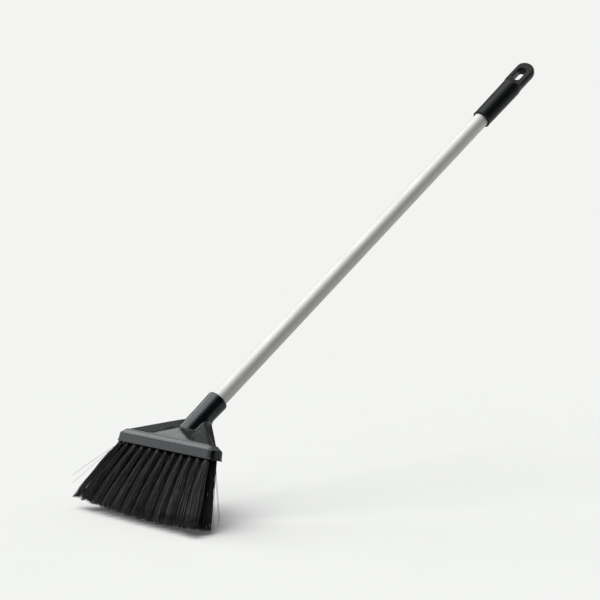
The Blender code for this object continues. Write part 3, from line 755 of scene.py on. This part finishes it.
# ---------------------------------------------------------------------------------------------
# Hanging grip
# A black plastic sleeve pushed over the tube's top, rolled at its mouth, that flattens into a
# round-ended tongue with a long slot to hang the brush by.
# ---------------------------------------------------------------------------------------------
grip_turn = math.radians(33.0)
grip_place = handle_place @ Matrix.Rotation(grip_turn, 4, "Z")
grip_from, grip_end_at, grip_radius, grip_end_radius = 0.796, 0.942, 0.0154, 0.0162
flatten_from, flatten_to, half_tongue, tongue_over = 0.0030, 0.0160, 0.0080, 0.0014
flatten_steps, dome_steps, grip_sides = 10, 16, 128
slot_half_length, slot_half_width, slot_middle_at, slot_over = 0.0145, 0.00625, 0.9110, 0.0024
slot_corner, slot_cut_reach, tube_stop_gap = slot_half_width - 0.0001, 0.012, 0.0003
grip_voxel, tongue_passes, tongue_above_tube = 0.00058, 9, 0.0020

# The rolled mouth, ring by ring: how far it stands proud of the sleeve, and how high it is.
mouth_roll = ((-0.0002, 0.0), (0.0004, 0.0005), (0.0004, 0.0012), (0.0, 0.0022))


def grip_stations():
    """Sections up the grip: radius, height, half thickness where it flattens, and set-over."""
    ramp_from, ramp_run = tube_top_at + flatten_from, flatten_to - flatten_from
    dome_from = grip_end_at - grip_end_radius
    stations = [(grip_radius + proud, grip_from + up, grip_radius + proud, 0)
                for proud, up in mouth_roll]
    for step in range(flatten_steps + 1):
        eased = (1 - math.cos(math.pi * step / flatten_steps)) / 2
        stations.append((grip_end_radius, ramp_from + ramp_run * step / flatten_steps,
                         grip_end_radius + (half_tongue - grip_end_radius) * eased,
                         tongue_over * eased))
    for step in range(dome_steps):
        angle = math.pi / 2 * step / dome_steps
        stations.append((grip_end_radius * math.cos(angle),
                         dome_from + grip_end_radius * math.sin(angle), half_tongue, tongue_over))
    return stations


def mould_grip():
    bm = bmesh.new()
    turn_layer = bm.verts.layers.float.new("turn")
    verts = bmesh.ops.create_circle(bm, cap_ends=False, segments=grip_sides, radius=1.0)["verts"]
    for vert in verts:
        vert[turn_layer] = math.atan2(vert.co.y, vert.co.x)
    edges = first_edges = list({edge for vert in verts for edge in vert.link_edges})
    for count, (radius, height, flat, over) in enumerate(grip_stations()):
        if count:
            made = bmesh.ops.extrude_edge_only(bm, edges=edges)["geom"]
            verts = [item for item in made if isinstance(item, bmesh.types.BMVert)]
            fresh = set(verts)
            edges = [item for item in made if isinstance(item, bmesh.types.BMEdge)
                     and item.verts[0] in fresh and item.verts[1] in fresh]
        for vert in verts:
            turn = vert[turn_layer]
            vert.co = Vector((radius * math.cos(turn) - over,
                              max(-flat, min(flat, radius * math.sin(turn))), height))
    bmesh.ops.contextual_create(bm, geom=first_edges)
    bmesh.ops.contextual_create(bm, geom=edges)
    bmesh.ops.recalc_face_normals(bm, faces=bm.faces)

    slot = bmesh.new()
    add_slab(slot, slot_half_length, slot_half_width, slot_corner, -slot_cut_reach, slot_cut_reach)
    stood_up = Matrix.Rotation(math.pi / 2, 4, "X") @ Matrix.Rotation(math.pi / 2, 4, "Z")
    bmesh.ops.transform(slot, verts=slot.verts,
                        matrix=Matrix.Translation((-slot_over, 0, slot_middle_at)) @ stood_up)
    bore_top, bore_bottom = tube_top_at + tube_stop_gap, grip_from - cut_overrun
    bore = turn_profile([(0, bore_top), (bore_radius, bore_top), (bore_radius, bore_bottom),
                         (0, bore_bottom)])
    skin = remould(bm, [slot, bore], grip_voxel)
    smooth_where(skin, skin_passes, lambda co: True)
    smooth_where(skin, tongue_passes, lambda co: co.z > tube_top_at + tongue_above_tube)
    return skin


grip_plastic = moulded_finish("grip_plastic", dark=(0.0022, 0.0027, 0.0029),
                              light=(0.0036, 0.0042, 0.0045), roughness=(0.32, 0.40),
                              cloud_scale=110.0, grain_depth=0.00007, gleam=0.18)
grip = show("grip_moulded", mould_grip(), grip_plastic, grip_place)
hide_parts("hanging_grip")


# ---------------------------------------------------------------------------------------------
# Studio
# A pale floor that fades into a white backdrop, and wide soft lamps: those on the left throw the
# shadow to the right. The dark cards are seen by the shiny surfaces alone.
# ---------------------------------------------------------------------------------------------
floor_radius, floor_drop, floor_lift = 3.2, 0.0002, 1.60
fade_from, fade_to = 0.6, 2.4


def pale_floor():
    bm = bmesh.new()
    bmesh.ops.create_circle(bm, cap_ends=True, segments=round_steps, radius=floor_radius,
                            matrix=Matrix.Translation((0, 0, floor_at - floor_drop)))
    mesh = bpy.data.meshes.new("floor")
    bm.to_mesh(mesh)
    bm.free()
    material = bpy.data.materials.new("pale_floor")
    material.use_nodes = True
    tree = material.node_tree
    tree.nodes.remove(tree.nodes["Principled BSDF"])
    place = add_node(tree, "ShaderNodeTexCoord").outputs["Object"]
    speck = add_node(tree, "ShaderNodeTexNoise", Vector=place, Scale=9.0, Detail=3.0)
    paint = ramp(tree, speck.outputs["Fac"],
                 [(0.3, (0.600, 0.606, 0.594)), (0.7, (0.606, 0.612, 0.600))])
    seen = add_node(tree, "ShaderNodeLightPath")
    lift = rescale(tree, seen.outputs["Is Camera Ray"], (0.0, 1.0), (1.0, floor_lift))
    lifted = add_node(tree, "ShaderNodeVectorMath", i0=paint)
    lifted.operation = "SCALE"
    tree.links.new(lift, lifted.inputs["Scale"])
    matt = add_node(tree, "ShaderNodeBsdfDiffuse", Color=lifted.outputs["Vector"])
    clear = add_node(tree, "ShaderNodeBsdfTransparent")
    reach = add_node(tree, "ShaderNodeVectorMath", i0=place)
    reach.operation = "LENGTH"
    fade = rescale(tree, reach.outputs["Value"], (fade_from, fade_to), (0.0, 1.0), eased=True)
    mix = add_node(tree, "ShaderNodeMixShader", i0=fade, i1=matt.outputs["BSDF"],
                   i2=clear.outputs["BSDF"])
    tree.links.new(mix.outputs["Shader"], tree.nodes["Material Output"].inputs["Surface"])
    mesh.materials.append(material)
    floor = bpy.data.objects.new("floor", mesh)
    bpy.context.scene.collection.objects.link(floor)


def white_backdrop():
    """White where the camera or a shiny surface sees it, and a soft light for everything else."""
    world = bpy.data.worlds.new("white_backdrop")
    bpy.context.scene.world = world
    world.use_nodes = True
    tree = world.node_tree
    seen = add_node(tree, "ShaderNodeLightPath")
    shiny = add_node(tree, "ShaderNodeMath", i0=seen.outputs["Is Camera Ray"],
                     i1=seen.outputs["Is Glossy Ray"])
    shiny.operation = "MAXIMUM"
    through = add_node(tree, "ShaderNodeMath", i0=shiny.outputs["Value"],
                       i1=seen.outputs["Is Transmission Ray"])
    through.operation = "MAXIMUM"
    soft = add_node(tree, "ShaderNodeBackground", Color=(0.95, 0.97, 1.0, 1.0), Strength=0.265)
    white = add_node(tree, "ShaderNodeBackground", Color=(0.896, 0.905, 0.880, 1.0), Strength=1.0)
    mix = add_node(tree, "ShaderNodeMixShader", i0=through.outputs["Value"],
                   i1=soft.outputs["Background"], i2=white.outputs["Background"])
    tree.links.new(mix.outputs["Shader"], tree.nodes["World Output"].inputs["Surface"])


def soft_sun(name, way, spread, strength, colour):
    """A lamp far off, as wide as a soft box, so that the floor is lit evenly."""
    data = bpy.data.lights.new(name, "SUN")
    data.angle, data.energy, data.color = math.radians(spread), strength, colour
    lamp = bpy.data.objects.new(name, data)
    bpy.context.scene.collection.objects.link(lamp)
    lamp.matrix_world = Vector(way).to_track_quat("Z", "Y").to_matrix().to_4x4()
    return lamp


card_centre, card_distance, card_edge = Vector((0, -0.1, 0.25)), 1.9, 0.50


def dark_card(name, way, size, shade, strength, core):
    """A dark card with soft edges that only glossy reflections see."""
    bm = bmesh.new()
    bm.loops.layers.uv.new("UVMap")
    bmesh.ops.create_grid(bm, x_segments=1, y_segments=1, size=0.5, calc_uvs=True)
    bmesh.ops.scale(bm, vec=(size[0], size[1], 1), verts=bm.verts)
    spot = Vector(way).normalized() * card_distance + card_centre
    turn = Vector(way).to_track_quat("Z", "Y").to_matrix().to_4x4()
    bmesh.ops.transform(bm, matrix=Matrix.Translation(spot) @ turn, verts=bm.verts)
    mesh = bpy.data.meshes.new(name)
    bm.to_mesh(mesh)
    bm.free()
    material = bpy.data.materials.new(name)
    material.use_nodes = True
    tree = material.node_tree
    tree.nodes.remove(tree.nodes["Principled BSDF"])
    place = add_node(tree, "ShaderNodeTexCoord").outputs["UV"]
    off_centre = add_node(tree, "ShaderNodeVectorMath", i0=place, i1=(0.5, 0.5, 0.0))
    off_centre.operation = "DISTANCE"
    edge = rescale(tree, off_centre.outputs["Value"], (core, card_edge), (strength, 0.0),
                   eased=True)
    felt = add_node(tree, "ShaderNodeEmission", Color=(shade, shade, shade, 1.0), Strength=1.0)
    clear = add_node(tree, "ShaderNodeBsdfTransparent")
    mix = add_node(tree, "ShaderNodeMixShader", i0=edge, i1=clear.outputs["BSDF"],
                   i2=felt.outputs["Emission"])
    tree.links.new(mix.outputs["Shader"], tree.nodes["Material Output"].inputs["Surface"])
    mesh.materials.append(material)
    card = bpy.data.objects.new(name, mesh)
    card.visible_camera = card.visible_diffuse = card.visible_shadow = False
    card.visible_transmission = card.visible_volume_scatter = False
    bpy.context.scene.collection.objects.link(card)


pale_floor()
white_backdrop()
soft_sun("lamp_overhead", (-0.17, -0.25, 0.95), 51.0, 1.58, (1.0, 1.0, 0.99))
soft_sun("lamp_left", (-0.81, 0.0, 0.585), 28.0, 0.42, (1.0, 1.0, 1.0))
soft_sun("lamp_front_left", (-0.77, -0.60, 0.22), 30.0, 0.12, (0.98, 0.99, 1.0))
fill = soft_sun("lamp_fill", (0.42, -0.66, 0.62), 40.0, 0.55, (1.0, 1.0, 0.99))
fill.visible_glossy = False
dark_card("dark_card_right", (0.88, 0.10, 0.46), (4.5, 3.9), 0.004, 1.0, 0.26)
dark_card("dark_card_camera", (0.78, -0.60, 0.12), (2.6, 2.4), 0.010, 1.0, 0.26)
dark_card("dark_card_behind", (-0.76, 0.60, 0.24), (2.8, 2.8), 0.02, 0.97, 0.38)


# ---------------------------------------------------------------------------------------------
# Camera
# It looks from the right and a little above, with the whole brush in a square frame.
# ---------------------------------------------------------------------------------------------
camera_from_foot = Vector((2.32863, -1.70745, 0.473))
camera_pitch, camera_heading = math.radians(85.0), math.radians(50.0)

lens = bpy.data.cameras.new("camera")
lens.lens, lens.sensor_width = 120.0, 36.0
lens.clip_start, lens.clip_end = 0.1, 60.0
camera = bpy.data.objects.new("camera", lens)
camera.location = handle_foot + camera_from_foot
camera.rotation_euler = (camera_pitch, 0, camera_heading)
bpy.context.scene.collection.objects.link(camera)
bpy.context.scene.camera = camera
bpy.context.scene.view_settings.view_transform = "Standard"
